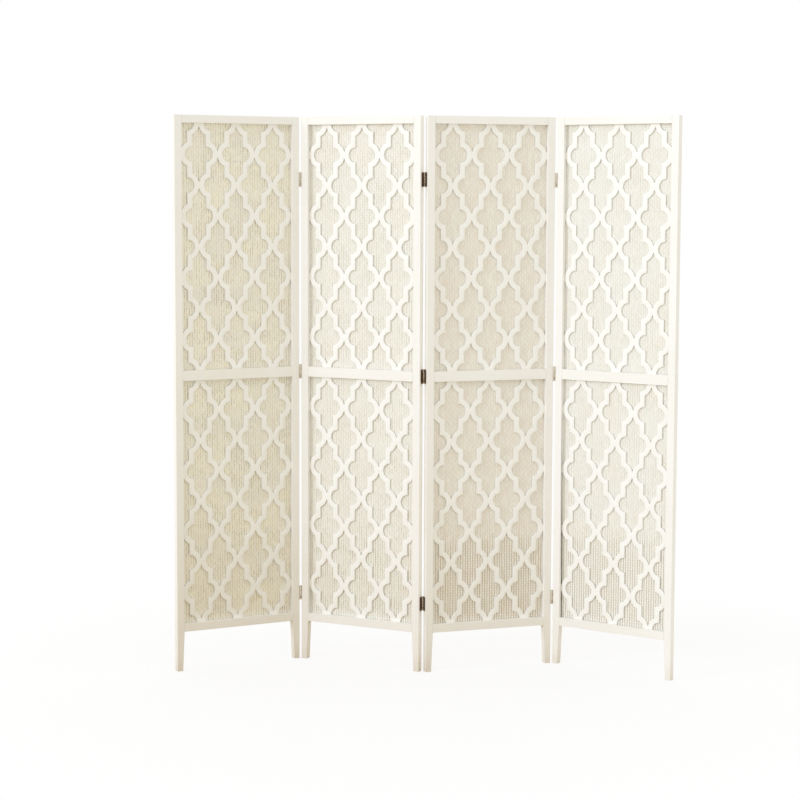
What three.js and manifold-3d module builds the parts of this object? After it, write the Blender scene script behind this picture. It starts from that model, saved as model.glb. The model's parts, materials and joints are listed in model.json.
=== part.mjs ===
// A four-panel mashrabiya folding screen: painted wood frames that hold pierced lattice boards in
// front of a woven sheet, joined by butt hinges, standing in a zigzag. Millimetres, +Z up, with the
// panels' fronts towards -Y.
import * as THREE from "three";
import { mergeVertices } from "three/addons/utils/BufferGeometryUtils.js";
import Module from "manifold-3d";

const wasm = await Module();
wasm.setup();

// ---- Driving dimensions ----

// The frame of one panel
const screenHeight = 1800;
const panelWidth = 440;
const frameDepth = 22;
const stileWidth = 25;
const topRailHeight = 25;
const middleRailHeight = 33;
const bottomRailHeight = 27;
const legLength = 129;
const footTaper = 6;

// Joinery
const jointGap = 0.3;
const tenonLength = 12;
const tenonThickness = 6;
const tenonInset = 5;
const tenonFront = 4;

// The lattice boards and the woven sheet, held in a stepped rebate at the back of the frame
const latticeRecess = 12;
const latticeThickness = 5;
const latticeLap = 6;
const sheetThickness = 1.2;
const sheetLap = 12;

// The pattern: ogee cells with a round lobe on each side, whose radius is a little over half of
// the neck's width
const cellsAcross = 3;
const halfRowsDown = 8;
const barWidth = 17;
const lobeOverNeck = 0.5;
const tipHalfWidth = 1.5;
const lobeSteps = 4;

// The hinges
const hingeHeight = 46;
const topHingeDrop = 203;
const bottomHingeRise = 223;
const leafThickness = 1.2;
const leafWidth = 15;
const axisFromEdge = 2.5;
const axisFromFace = 2;
const knuckleRadius = 2.9;
const boreRadius = 1.85;
const pinRadius = 1.4;
const pinHeadRadius = 2.4;
const pinHeadThickness = 0.8;
const knuckleGap = 0.4;
const knuckleClearance = 0.45;
const roundSides = 8;

// How the screen stands: the first panel's heading, and how far each fold is from flat
const firstHeading = 28.5;
const foldAngles = [56, 46.5, 54];

// ---- Derived places in a panel: x along its width, y from its front face back, z up ----

const frontFace = 0;
const backFace = frameDepth;
const openingWidth = panelWidth - 2 * stileWidth;
const bottomRailTop = legLength + bottomRailHeight;
const topRailFoot = screenHeight - topRailHeight;
const openingHeight = (topRailFoot - bottomRailTop - middleRailHeight) / 2;
const middleRailFoot = bottomRailTop + openingHeight;
const middleRailTop = middleRailFoot + middleRailHeight;
const latticeShoulder = latticeRecess - jointGap;
const sheetShoulder = latticeRecess + latticeThickness;
const sheetFront = sheetShoulder + jointGap;
const overrun = 1;

const halfPitch = openingWidth / cellsAcross / 2;
const rowPitch = openingHeight / halfRowsDown;
const neckHalfWidth = (halfPitch - barWidth) / 2;
const lobeRadius = neckHalfWidth + lobeOverNeck;

const cream = { color: 0xf0e9dc, roughness: 0.5, metalness: 0 };
const straw = { color: 0xddd2ba, roughness: 0.95, metalness: 0 };
const bronze = { color: 0x4f3b28, roughness: 0.45, metalness: 0.8 };

// ---- Solids ----

// A closed geometry as a solid that can be cut and joined.
function toSolid(geometry) {
  geometry.deleteAttribute("normal");
  geometry.deleteAttribute("uv");
  const merged = mergeVertices(geometry, 1e-4);
  return new wasm.Manifold(
    new wasm.Mesh({
      numProp: 3,
      vertProperties: new Float32Array(merged.attributes.position.array),
      triVerts: new Uint32Array(merged.index.array),
    }),
  );
}

// A solid as geometry that a mesh can show.
function toGeometry(solid) {
  const { vertProperties, triVerts } = solid.getMesh();
  const geometry = new THREE.BufferGeometry();
  geometry.setAttribute("position", new THREE.BufferAttribute(vertProperties, 3));
  geometry.setIndex(new THREE.BufferAttribute(triVerts, 1));
  geometry.computeVertexNormals();
  return geometry;
}

// A block between two values on each axis, given in either order.
function block([x0, x1], [y0, y1], [z0, z1]) {
  const size = [x1 - x0, y1 - y0, z1 - z0].map(Math.abs);
  const geometry = new THREE.BoxGeometry(...size);
  geometry.translate((x0 + x1) / 2, (y0 + y1) / 2, (z0 + z1) / 2);
  return toSolid(geometry);
}

// The axes that an outline's two coordinates and its sweep run along.
const sweeps = {
  x: [new THREE.Vector3(0, 1, 0), new THREE.Vector3(0, 0, 1), new THREE.Vector3(1, 0, 0)],
  y: [new THREE.Vector3(0, 0, 1), new THREE.Vector3(1, 0, 0), new THREE.Vector3(0, 1, 0)],
  z: [new THREE.Vector3(1, 0, 0), new THREE.Vector3(0, 1, 0), new THREE.Vector3(0, 0, 1)],
};

// An outline swept along an axis from one value to another. Its points are (y, z) for x, (z, x) for
// y and (x, y) for z.
function sweep(axis, points, from, to) {
  const shape = new THREE.Shape(points.map(([a, b]) => new THREE.Vector2(a, b)));
  const geometry = new THREE.ExtrudeGeometry(shape, { depth: to - from, bevelEnabled: false });
  geometry.applyMatrix4(new THREE.Matrix4().makeBasis(...sweeps[axis]));
  geometry.translate(...sweeps[axis][2].clone().multiplyScalar(from).toArray());
  return toSolid(geometry);
}

// Points of an arc about a centre, ends included.
function arc([x, y], radius, fromDegrees, toDegrees, steps) {
  return Array.from({ length: steps + 1 }, (_, i) => {
    const angle = THREE.MathUtils.degToRad(fromDegrees + ((toDegrees - fromDegrees) * i) / steps);
    return [x + radius * Math.cos(angle), y + radius * Math.sin(angle)];
  });
}

// ---- Frame ----

// The heights of a rail's foot and top.
const rails = {
  top: [topRailFoot, screenHeight],
  middle: [middleRailFoot, middleRailTop],
  bottom: [legLength, bottomRailTop],
};

// A stile from the floor to the top. It is mortised for the three rails, rebated at the back of its
// inner edge, and tapered on the inside below the bottom rail. The right one mirrors the left one.
function stile(side) {
  const across = (x) => (side === "left" ? x : panelWidth - x);
  const outline = [
    [0, across(0)],
    [0, across(stileWidth - footTaper)],
    [legLength, across(stileWidth)],
    [screenHeight, across(stileWidth)],
    [screenHeight, across(0)],
  ];
  let solid = sweep("y", outline, frontFace, backFace);
  const rebate = (lap, shoulder) =>
    block(
      [across(stileWidth - lap), across(stileWidth + overrun)],
      [shoulder, backFace + overrun],
      [bottomRailTop - lap, topRailFoot + lap],
    );
  solid = solid.subtract(rebate(latticeLap, latticeShoulder));
  solid = solid.subtract(rebate(sheetLap, sheetShoulder));
  for (const [foot, top] of Object.values(rails)) {
    const mortise = block(
      [across(stileWidth - tenonLength - jointGap), across(stileWidth + overrun)],
      [tenonFront - jointGap, tenonFront + tenonThickness + jointGap],
      [foot + tenonInset - jointGap, top - tenonInset + jointGap],
    );
    solid = solid.subtract(mortise);
  }
  return toGeometry(solid);
}

// A rail between the stiles, with a stub tenon at each end and the frame's rebate along the edges
// that face an opening. The middle rail stops short of the back, and the sheet passes behind it.
function rail(name) {
  const [foot, top] = rails[name];
  const shoulders = [stileWidth + jointGap, panelWidth - stileWidth - jointGap];
  const back = name === "middle" ? sheetShoulder : backFace;
  let solid = block(shoulders, [frontFace, back], [foot, top]);
  const along = [shoulders[0] - overrun, shoulders[1] + overrun];
  const edges = { top: [[foot, 1]], middle: [[foot, 1], [top, -1]], bottom: [[top, -1]] };
  for (const [edge, inward] of edges[name]) {
    const rebate = (lap, shoulder) =>
      block(along, [shoulder, backFace + overrun], [edge - inward * overrun, edge + inward * lap]);
    solid = solid.subtract(rebate(latticeLap, latticeShoulder));
    if (name !== "middle") solid = solid.subtract(rebate(sheetLap, sheetShoulder));
  }
  const tenons = block(
    [stileWidth - tenonLength, panelWidth - stileWidth + tenonLength],
    [tenonFront, tenonFront + tenonThickness],
    [foot + tenonInset, top - tenonInset],
  );
  return toGeometry(solid.add(tenons));
}

// ---- Lattice ----

// The outline of one cell about its centre, as (z, x) points: a round lobe on each side, straight
// necks above and below, and tips whose sides follow the neighbouring cells' lobes.
function cellOutline() {
  const tipRadius = lobeRadius + barWidth;
  const lobeCentre = halfPitch - neckHalfWidth;
  const tipCorner = rowPitch - Math.sqrt(tipRadius ** 2 - (lobeCentre - neckHalfWidth) ** 2);
  const tipEnd = rowPitch - Math.sqrt(tipRadius ** 2 - (lobeCentre - tipHalfWidth) ** 2);
  const half = [
    [tipEnd + tipHalfWidth, 0],
    [tipCorner, neckHalfWidth],
    ...arc([0, neckHalfWidth], lobeRadius, 0, 180, lobeSteps),
    [-tipCorner, neckHalfWidth],
  ];
  return [...half, ...half.map(([z, x]) => [-z, -x])];
}

// One board, with the pattern pierced inside the opening and a plain border that the frame laps.
// Odd rows of cells stand between the stiles, and even rows are half a pitch across from them.
function latticeBoard() {
  const lap = latticeLap - jointGap;
  const thickness = [latticeRecess, latticeRecess + latticeThickness];
  const opening = block(
    [stileWidth, panelWidth - stileWidth],
    [thickness[0] - overrun, thickness[1] + overrun],
    [0, openingHeight],
  );
  let board = block(
    [stileWidth - lap, panelWidth - stileWidth + lap],
    thickness,
    [-lap, openingHeight + lap],
  );
  const cell = sweep("y", cellOutline(), thickness[0] - overrun, thickness[1] + overrun);
  for (let row = 0; row <= halfRowsDown; row += 1) {
    const odd = row % 2;
    for (let column = 0; column <= cellsAcross - odd; column += 1) {
      const x = stileWidth + halfPitch * (2 * column + odd);
      board = board.subtract(cell.translate(x, 0, row * rowPitch).intersect(opening));
    }
  }
  return toGeometry(board);
}

// The woven sheet, one piece behind both lattice boards and the middle rail.
function wovenSheet() {
  const lap = sheetLap - jointGap;
  return toGeometry(
    block(
      [stileWidth - lap, panelWidth - stileWidth + lap],
      [sheetFront, sheetFront + sheetThickness],
      [bottomRailTop - lap, topRailFoot + lap],
    ),
  );
}

// ---- Hinges ----

// The stretches of the hinge's height that each leaf's knuckles take.
const quarter = hingeHeight / 4;
const knuckles = {
  left: [
    [0, quarter - knuckleGap / 2],
    [3 * quarter + knuckleGap / 2, hingeHeight],
  ],
  right: [[quarter + knuckleGap / 2, 3 * quarter - knuckleGap / 2]],
};

// A leaf about the hinge's axis. Its plate lies against the stile's edge, on the -X side of the axis
// for the left leaf, and runs from the knuckles towards inward, which is 1 where the knuckles stand
// in front of the frame and -1 where they stand behind it.
function hingeLeaf(side, inward) {
  const outward = side === "left" ? -1 : 1;
  const plateBack = outward * (axisFromEdge - jointGap);
  const plateFront = outward * (axisFromEdge - jointGap - leafThickness);
  const plateStart = knuckleRadius + knuckleClearance;
  const plateEnd = axisFromFace + leafWidth;
  let solid = block(
    [plateBack, plateFront],
    [inward * plateStart, inward * plateEnd],
    [0, hingeHeight],
  );
  for (const [from, to] of knuckles[side]) {
    const curl = arc([0, 0], knuckleRadius, 0, 360, roundSides).slice(1);
    const neck = block([plateBack, plateFront], [0, inward * (plateStart + overrun)], [from, to]);
    solid = solid.add(neck).add(sweep("z", curl, from, to));
  }
  const bore = arc([0, 0], boreRadius, 0, 360, roundSides).slice(1);
  return toGeometry(solid.subtract(sweep("z", bore, -overrun, hingeHeight + overrun)));
}

// The pin, with a head beyond the knuckles at each end.
function hingePin() {
  const headFoot = -jointGap;
  const headTop = hingeHeight + jointGap;
  const profile = [
    [0, headFoot - pinHeadThickness],
    [pinHeadRadius, headFoot - pinHeadThickness],
    [pinHeadRadius, headFoot],
    [pinRadius, headFoot],
    [pinRadius, headTop],
    [pinHeadRadius, headTop],
    [pinHeadRadius, headTop + pinHeadThickness],
    [0, headTop + pinHeadThickness],
  ];
  const points = profile.map(([radius, z]) => new THREE.Vector2(radius, z));
  const geometry = new THREE.LatheGeometry(points, roundSides);
  geometry.rotateX(Math.PI / 2);
  return toGeometry(toSolid(geometry));
}

// ---- Assembly ----

// A named mesh with its own material.
function piece(name, geometry, finish) {
  const mesh = new THREE.Mesh(geometry, new THREE.MeshStandardMaterial(finish));
  mesh.name = name;
  return mesh;
}

// Where a joint's axis stands: in front of the panels for the first and third joints, behind them
// for the second. It is level with the gap between the panels' edges.
const joints = foldAngles.map((angle, index) => {
  const inFront = index % 2 === 0;
  return {
    angle: inFront ? -angle : angle,
    y: inFront ? frontFace - axisFromFace : backFace + axisFromFace,
    inward: inFront ? 1 : -1,
  };
});

const hingeFeet = {
  top: screenHeight - topHingeDrop - hingeHeight / 2,
  middle: (middleRailFoot + middleRailTop - hingeHeight) / 2,
  bottom: bottomHingeRise - hingeHeight / 2,
};

const board = latticeBoard();
const panelGeometry = {
  left_stile: [stile("left"), cream],
  right_stile: [stile("right"), cream],
  top_rail: [rail("top"), cream],
  middle_rail: [rail("middle"), cream],
  bottom_rail: [rail("bottom"), cream],
  upper_lattice: [board.clone().translate(0, 0, middleRailTop), cream],
  lower_lattice: [board.clone().translate(0, 0, bottomRailTop), cream],
  woven_back: [wovenSheet(), straw],
};

// One panel's pieces, and the hinge pieces that it carries.
function panel(number) {
  const group = new THREE.Group();
  for (const [name, [geometry, finish]] of Object.entries(panelGeometry)) {
    group.add(piece(`panel_${number}_${name}`, geometry.clone(), finish));
  }
  const carry = (joint, side, x) => {
    const { y, inward } = joints[joint - 1];
    for (const [place, foot] of Object.entries(hingeFeet)) {
      const name = `hinge_${joint}_${place}`;
      const parts = [piece(`${name}_leaf_${side}`, hingeLeaf(side, inward), bronze)];
      if (side === "left") parts.push(piece(`${name}_pin`, hingePin(), bronze));
      for (const part of parts) {
        part.position.set(x, y, foot);
        group.add(part);
      }
    }
  };
  if (number <= joints.length) carry(number, "left", panelWidth + axisFromEdge);
  if (number > 1) carry(number - 1, "right", -axisFromEdge);
  return group;
}

// The panels in a chain: each turns about the axis that it shares with the one before it.
const zigzag = new THREE.Group();
let corner = new THREE.Vector3();
let heading = firstHeading;
for (let number = 1; number <= joints.length + 1; number += 1) {
  const group = panel(number);
  group.position.copy(corner);
  group.rotation.z = THREE.MathUtils.degToRad(heading);
  zigzag.add(group);
  if (number <= joints.length) {
    const { y, angle } = joints[number - 1];
    group.updateMatrix();
    const axis = new THREE.Vector3(panelWidth + axisFromEdge, y, 0).applyMatrix4(group.matrix);
    heading += angle;
    const turn = new THREE.Matrix4().makeRotationZ(THREE.MathUtils.degToRad(heading));
    corner = axis.sub(new THREE.Vector3(-axisFromEdge, y, 0).applyMatrix4(turn));
  }
}

// The screen's origin is on the floor, in the middle of the space that the zigzag takes.
const bounds = new THREE.Box3().setFromObject(zigzag, true);
const middle = bounds.getCenter(new THREE.Vector3());
zigzag.position.set(-middle.x, -middle.y, -bounds.min.z);

const screen = new THREE.Group();
screen.add(zigzag);

export default screen;
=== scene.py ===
"""A four-panel mashrabiya folding screen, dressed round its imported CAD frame.

Painted stiles and rails hold pierced lattice boards in front of a woven paper sheet, and bronzed
butt hinges join the panels in a zigzag. Lengths are in metres. A panel's own frame has x along
its width, y from its front face back, and z up.
"""

import json
import logging
import math
import sys
from collections.abc import Iterable, Sequence
from dataclasses import dataclass, field
from enum import Enum
from functools import cache

import bmesh
import bpy
import numpy as np
from bmesh.types import BMesh, BMVert
from bpy.types import ID, Material, Node, NodeSocket, NodeTree, Object
from mathutils import Matrix, Vector
from mathutils.geometry import delaunay_2d_cdt


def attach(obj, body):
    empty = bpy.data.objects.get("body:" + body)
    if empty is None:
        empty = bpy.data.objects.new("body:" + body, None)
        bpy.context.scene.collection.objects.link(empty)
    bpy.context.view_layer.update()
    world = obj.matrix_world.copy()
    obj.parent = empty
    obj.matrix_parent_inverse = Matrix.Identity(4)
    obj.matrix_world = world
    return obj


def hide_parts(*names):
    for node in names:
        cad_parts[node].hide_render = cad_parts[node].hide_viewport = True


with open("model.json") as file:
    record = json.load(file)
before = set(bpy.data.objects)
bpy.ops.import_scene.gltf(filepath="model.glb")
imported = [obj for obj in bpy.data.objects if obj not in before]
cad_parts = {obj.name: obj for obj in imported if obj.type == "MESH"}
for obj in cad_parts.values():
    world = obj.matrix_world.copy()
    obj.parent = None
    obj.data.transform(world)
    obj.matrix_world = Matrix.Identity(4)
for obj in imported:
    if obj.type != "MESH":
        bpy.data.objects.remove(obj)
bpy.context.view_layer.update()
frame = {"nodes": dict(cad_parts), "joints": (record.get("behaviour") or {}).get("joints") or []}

LOG = logging.getLogger("screen")
MM = 0.001
# How far each panel is turned about the vertical, in degrees, from the left.
HEADINGS = (28.5, -27.5, 19.0, -35.0)
# Two points nearer than this are one.
TOUCHING = 1e-9

Outline = list[tuple[float, float]]
Marks = tuple[float, float, float]
Setting = float | bool | str | tuple | NodeSocket


class Side(Enum):
    """Which side of a panel or of a hinge a piece is on."""

    LEFT = "left"
    RIGHT = "right"


class Storey(Enum):
    """Which of a panel's two openings a lattice board fills."""

    UPPER = "upper"
    LOWER = "lower"


class Grain(Enum):
    """Which way the wood's grain and the brush marks over it run."""

    UPRIGHT = "upright"
    LEVEL = "level"


# ---- Sizes and places ----


@dataclass(frozen=True)
class PanelSizes:
    """The sizes that the pieces of a panel share."""

    height: float = 1800 * MM
    width: float = 440 * MM
    depth: float = 22 * MM
    stile: float = 25 * MM
    top_rail: float = 25 * MM
    middle_rail: float = 33 * MM
    bottom_rail: float = 27 * MM
    leg: float = 129 * MM
    lattice_recess: float = 12 * MM
    lattice_thickness: float = 5 * MM

    @property
    def opening_width(self) -> float:
        """The clear width between the stiles."""
        return self.width - 2 * self.stile

    @property
    def opening_height(self) -> float:
        """The clear height of each of the two openings."""
        rails = self.top_rail + self.middle_rail + self.bottom_rail
        return (self.height - self.leg - rails) / 2

    def opening_foot(self, storey: Storey) -> float:
        """Finds where an opening starts.

        Args:
            storey: Which opening.

        Returns:
            The height of its lower edge above the floor.
        """
        lower = self.leg + self.bottom_rail
        if storey is Storey.LOWER:
            return lower
        return lower + self.opening_height + self.middle_rail


@dataclass(frozen=True)
class Panel:
    """One panel of the screen: its number, which way it heads, and where it stands."""

    number: int
    heading: float
    corner: Vector
    sizes: PanelSizes

    @property
    def body(self) -> str:
        """The name of the body that the panel's pieces ride on."""
        return f"panel_{self.number}"

    @property
    def matrix(self) -> Matrix:
        """The panel's own frame, seen from the whole screen's."""
        return Matrix.Translation(self.corner) @ Matrix.Rotation(self.heading, 4, "Z")


@dataclass(frozen=True)
class Fold:
    """One joint between two panels: where its hinges stand from the stiles' edges and faces."""

    number: int
    in_front: bool
    from_edge: float = 2.5 * MM
    from_face: float = 2 * MM

    def axis_at(self, side: Side, sizes: PanelSizes) -> Vector:
        """Finds the hinges' axis in the frame of one of the panels that it joins.

        Args:
            side: The leaf's side: the left leaf is on the panel before the joint.
            sizes: The panels' sizes.

        Returns:
            The axis's place at floor level.
        """
        across = sizes.width + self.from_edge if side is Side.LEFT else -self.from_edge
        back = -self.from_face if self.in_front else sizes.depth + self.from_face
        return Vector((across, back, 0))


def stand_panels(
    headings: Sequence[float], folds: Sequence[Fold], sizes: PanelSizes
) -> list[Panel]:
    """Places each panel by the joint that it shares with its neighbour.

    Args:
        headings: Each panel's turn about the vertical, in degrees.
        folds: The joints between them, in order.
        sizes: The panels' sizes.

    Returns:
        The panels, from the left.
    """
    axes = {joint["name"]: Vector(joint["pos_m"]) for joint in frame["joints"]}
    panels = []
    for index, heading in enumerate(headings):
        fold, side = (folds[index - 1], Side.RIGHT) if index else (folds[0], Side.LEFT)
        turn = Matrix.Rotation(math.radians(heading), 4, "Z")
        corner = axes[f"fold_{fold.number}"] - turn @ fold.axis_at(side, sizes)
        corner.z = 0
        panels.append(Panel(index + 1, math.radians(heading), corner, sizes))
    return panels


# ---- Materials ----


def linear(code: str) -> tuple[float, float, float, float]:
    """Turns an sRGB colour into the linear one that shaders take.

    Args:
        code: The colour as #RRGGBB.

    Returns:
        The linear colour, opaque.
    """
    shares = (int(code[i : i + 2], 16) / 255 for i in (1, 3, 5))
    return (*(s / 12.92 if s <= 0.04045 else ((s + 0.055) / 1.055) ** 2.4 for s in shares), 1.0)


def add_node(
    tree: NodeTree,
    kind: str,
    inputs: dict[str | int, Setting] | Sequence[Setting] = (),
    **settings: Setting,
) -> Node:
    """Adds a node with its settings and links.

    Args:
        tree: The node tree.
        kind: The node's type, without the ShaderNode that each starts with.
        inputs: What goes into its inputs, by name or in their order: values, or other nodes'
            outputs.
        **settings: The node's own settings.

    Returns:
        The node.
    """
    made = tree.nodes.new(f"ShaderNode{kind}")
    for name, value in settings.items():
        setattr(made, name, value)
    for name, value in inputs.items() if isinstance(inputs, dict) else enumerate(inputs):
        if isinstance(value, NodeSocket):
            tree.links.new(value, made.inputs[name])
        else:
            made.inputs[name].default_value = value
    return made


def start_material(name: str) -> tuple[Material, NodeTree]:
    """Makes a material that has no nodes yet.

    Args:
        name: The material's name.

    Returns:
        The material and its node tree.
    """
    made = bpy.data.materials.new(name)
    made.use_nodes = True
    made.node_tree.nodes.clear()
    return made, made.node_tree


def finish_material(tree: NodeTree, coat: dict[str | int, Setting]) -> None:
    """Ends a material's nodes with its shader, which the coat goes into, and its output."""
    shader = add_node(tree, "BsdfPrincipled", coat)
    add_node(tree, "OutputMaterial", {"Surface": shader.outputs[0]})


def spread_noise(
    tree: NodeTree, place: NodeSocket, grain: Marks, detail: float = 2.0
) -> NodeSocket:
    """Draws noise whose marks have a real size on each axis.

    Args:
        tree: The node tree.
        place: The coordinates, in metres.
        grain: The marks' size along x, y and z, in metres.
        detail: How many finer layers lie over the noise.

    Returns:
        The noise, from 0 to 1.
    """
    scale = tuple(1 / size for size in grain)
    spread = add_node(tree, "Mapping", {"Vector": place, "Scale": scale}).outputs[0]
    noise = {"Vector": spread, "Scale": 1.0, "Detail": detail}
    return add_node(tree, "TexNoise", noise).outputs[0]


def wave(tree: NodeTree, along: NodeSocket, length: float, turn: float = 0.0) -> NodeSocket:
    """Draws an even wave with a real length.

    Args:
        tree: The node tree.
        along: The coordinate that it runs along, in metres.
        length: The distance between two crests, in metres.
        turn: How far its first crest is moved, in radians.

    Returns:
        The wave, from -1 to 1.
    """
    angle = add_node(tree, "Math", (along, math.tau / length, turn), operation="MULTIPLY_ADD")
    return add_node(tree, "Math", (angle.outputs[0],), operation="COSINE").outputs[0]


@dataclass(frozen=True)
class Tint:
    """A colour that comes in over a stretch of a pattern, up to the share that is its peak."""

    pattern: NodeSocket
    colour: str
    stretch: tuple[float, float] = (0.0, 1.0)
    peak: float = 1.0


def lay_tints(tree: NodeTree, base: str, tints: Sequence[Tint]) -> NodeSocket:
    """Lays tints over a base colour.

    Args:
        tree: The node tree.
        base: The base colour.
        tints: The tints, from the lowest.

    Returns:
        The colour.
    """
    colour: Setting = linear(base)
    for tint in tints:
        reach = (tint.pattern, *tint.stretch, 0.0, tint.peak)
        share = add_node(tree, "MapRange", reach).outputs[0]
        mixed = {"Factor": share, 6: colour, 7: linear(tint.colour)}
        colour = add_node(tree, "Mix", mixed, data_type="RGBA").outputs[2]
    return colour


@dataclass(frozen=True)
class BrushedAlkydOnPine:
    """Cream alkyd enamel, brushed on sanded pine.

    The brush leaves fine ridges along the board, the paint is a shade warmer where it lies thick,
    and it turns darker and warmer in patches towards the floor.
    """

    colour: str = "#F8F5EF"
    thick: str = "#F2EDE2"
    # The darker, warmer colour that comes in, in patches, towards the floor.
    low_tone: str = "#DDD2BE"
    ior: float = 1.48
    # From the foot of a ridge to its crest.
    roughness: tuple[float, float] = (0.41, 0.54)
    # Bristles leave ridges about 0.5 mm apart, which is drawn at 3 mm, so that it shows.
    ridge: tuple[float, float] = (3 * MM, 180 * MM)
    ridge_height: float = 0.25 * MM
    patch: float = 260 * MM
    low_mark: Marks = (9 * MM, 9 * MM, 16 * MM)
    # How high above the floor the darker patches fade out, and how strong they are at most.
    low_tone_height: float = 70 * MM
    low_tone_most: float = 0.55

    @cache
    def material(self, grain: Grain, heading: float) -> Material:
        """Builds the finish for a board.

        Args:
            grain: Which way the board's grain runs.
            heading: The turn of the board's panel, because a CAD node's own axes are the room's.

        Returns:
            The material.
        """
        name = f"brushed_alkyd_on_pine_{grain.value}_{math.degrees(heading):.0f}"
        made, tree = start_material(name)
        place = add_node(tree, "TexCoord").outputs["Object"]
        turned = {"Vector": place, "Rotation": (0, 0, -heading)}
        along = add_node(tree, "Mapping", turned).outputs[0]
        fine, long = self.ridge
        marks = (fine, fine, long) if grain is Grain.UPRIGHT else (long, fine, fine)
        ridges = spread_noise(tree, along, marks, 3.0)
        patches = spread_noise(tree, along, (self.patch,) * 3, 3.0)
        # Darker and warmer in patches over the lowest part of the board, fading out upwards.
        height = add_node(tree, "SeparateXYZ", (place,)).outputs["Z"]
        fade = (height, 0.0, self.low_tone_height, self.low_tone_most, 0.0)
        low = add_node(tree, "MapRange", fade, interpolation_type="SMOOTHSTEP").outputs[0]
        low_marks = spread_noise(tree, along, self.low_mark, 4.0)
        low_patches = add_node(tree, "Math", (low, low_marks), operation="MULTIPLY").outputs[0]
        tints = (
            Tint(patches, self.thick, (0.42, 0.68), 0.45),
            Tint(ridges, self.thick, (0.5, 0.78), 0.3),
            Tint(low_patches, self.low_tone),
        )
        relief = {"Height": ridges, "Strength": 0.35, "Distance": self.ridge_height}
        coat = {
            "Base Color": lay_tints(tree, self.colour, tints),
            "Roughness": add_node(tree, "MapRange", (ridges, 0.3, 0.7, *self.roughness)).outputs[0],
            "Normal": add_node(tree, "Bump", relief).outputs[0],
            "IOR": self.ior,
        }
        finish_material(tree, coat)
        return made


@dataclass(frozen=True)
class SprayedAlkydOnFibreboard:
    """The same cream enamel, sprayed on routed fibreboard.

    The faces have a fine orange peel with no grain. The routed edges drink the paint, so they are
    rougher and duller, and their colour is darker and greyer than the faces', partly from that
    paint and partly as painted shade.
    """

    colour: str = "#FAF8F2"
    thick: str = "#F5F1E8"
    # Darker and greyer than the faces: partly the paint that the edges drank, partly painted shade.
    edge: str = "#EEEEEC"
    ior: float = 1.48
    face_roughness: float = 0.48
    edge_roughness: float = 0.72
    # Orange peel is about 1 mm across, which is drawn at 4 mm, so that it shows.
    peel: float = 4 * MM
    peel_height: float = 0.15 * MM
    patch: float = 140 * MM

    @cache
    def material(self, cut: bool) -> Material:
        """Builds the finish for the board's faces or for its routed edges.

        Args:
            cut: Whether it is for the edges.

        Returns:
            The material.
        """
        made, tree = start_material("sprayed_alkyd_on_fibreboard_" + ("edge" if cut else "face"))
        place = add_node(tree, "TexCoord").outputs["Object"]
        patches = spread_noise(tree, place, (self.patch,) * 3, 3.0)
        peel = spread_noise(tree, place, (self.peel,) * 3)
        tints = [Tint(patches, self.thick, (0.4, 0.7), 0.5)]
        relief = {"Height": peel, "Strength": 0.5 if cut else 0.25, "Distance": self.peel_height}
        coat = {
            "Base Color": lay_tints(tree, self.edge if cut else self.colour, tints),
            "Roughness": self.edge_roughness if cut else self.face_roughness,
            "Normal": add_node(tree, "Bump", relief).outputs[0],
            "IOR": self.ior,
        }
        finish_material(tree, coat)
        return made


@dataclass(frozen=True)
class Weaving:
    """How one sheet came off the loom, which differs a little from sheet to sheet.

    It holds the colour of its batch of yarn, how much of the painted shade in the slits between
    its threads shows, and how much more of it shows towards its foot, both from 0 to 1.
    """

    yarn: str
    openness: float
    slit_shade_gain: float


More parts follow.
